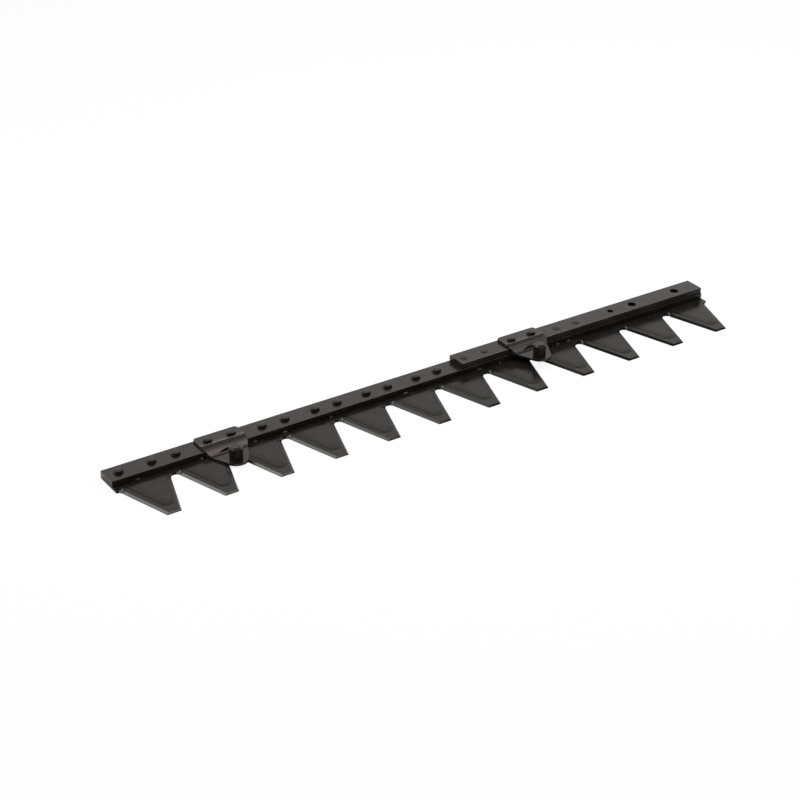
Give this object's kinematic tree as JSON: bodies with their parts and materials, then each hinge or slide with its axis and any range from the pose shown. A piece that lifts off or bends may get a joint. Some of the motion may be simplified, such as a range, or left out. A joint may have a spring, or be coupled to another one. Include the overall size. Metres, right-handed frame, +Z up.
{
  "type": "sickle bar mower knife",
  "caption": "Flat steel mower knife: a row of blunt-tipped triangular sections riveted under a straight back bar, with a reinforced drive end and upright guide pins on stepped brackets",
  "frame": {"origin": "middle of the knife's length and depth, on the undersides of the sections", "axes": "+X along the knife towards the drive end, +Y from the section tips to the back edge, +Z up"},
  "size_m": [0.8398, 0.1054, 0.0278],
  "materials": {
    "bars": "black satin paint over rolled steel",
    "sections": "black satin paint over ground steel",
    "brackets": "black satin paint over a forging",
    "pins": "black satin paint over turned steel",
    "rivets": "black satin paint"
  },
  "bodies": {
    "root": {"knife_back": "bars", "reinforcing_bar": "bars", "guide_bracket_left": "brackets", "guide_bracket_right": "brackets", "guide_pin_left": "pins", "guide_pin_right": "pins", "bracket_rivets": "rivets", "section_rivets": "rivets", "reinforcement_rivets": "rivets", "drive_seat_rivets": "rivets", "knife_section_01": "sections", "knife_section_02": "sections", "knife_section_03": "sections", "knife_section_04": "sections", "knife_section_05": "sections", "knife_section_06": "sections", "knife_section_07": "sections", "knife_section_08": "sections", "knife_section_09": "sections", "knife_section_10": "sections", "knife_section_11": "sections", "knife_section_12": "sections"}
  },
  "joints": []
}
